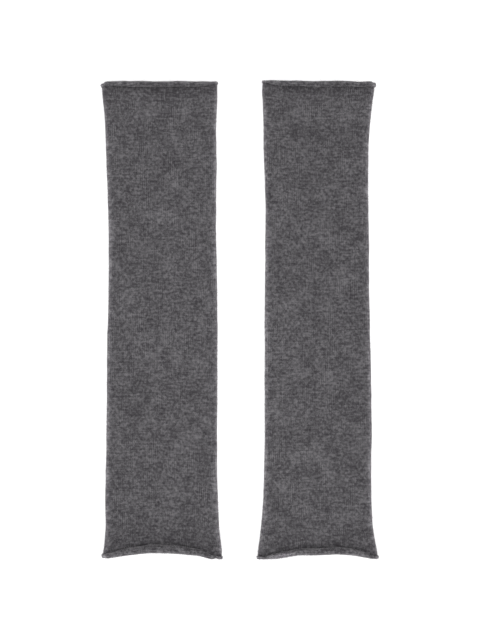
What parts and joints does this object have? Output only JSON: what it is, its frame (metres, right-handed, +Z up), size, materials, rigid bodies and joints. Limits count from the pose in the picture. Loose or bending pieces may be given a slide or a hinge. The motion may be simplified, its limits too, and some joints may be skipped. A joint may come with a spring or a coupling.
{
  "type": "pair of knitted arm warmers",
  "caption": "Fine-knit wool arm warmers, plain seamless tubes with ends that roll outward by themselves, laid flat side by side.",
  "frame": {"origin": "on the surface the pair lies on, under the middle of its bounding box", "axes": "+Y up the arm warmers to their upper ends, +X from the left warmer to the right one, +Z up from the surface through the layers of cloth"},
  "size_m": [0.2327, 0.4002, 0.011],
  "materials": {
    "knit_face": "fine stockinette in charcoal heather wool, knit side, matt with a soft nap",
    "knit_reverse": "the same wool seen from its purl side, on the rolled ends, matt and slightly lighter"
  },
  "bodies": {
    "root": {"left_front": "knit_face", "left_back": "knit_face", "left_top_roll_front": "knit_reverse", "left_top_roll_back": "knit_reverse", "left_bottom_roll_front": "knit_reverse", "left_bottom_roll_back": "knit_reverse", "right_front": "knit_face", "right_back": "knit_face", "right_top_roll_front": "knit_reverse", "right_top_roll_back": "knit_reverse", "right_bottom_roll_front": "knit_reverse", "right_bottom_roll_back": "knit_reverse"}
  },
  "joints": []
}
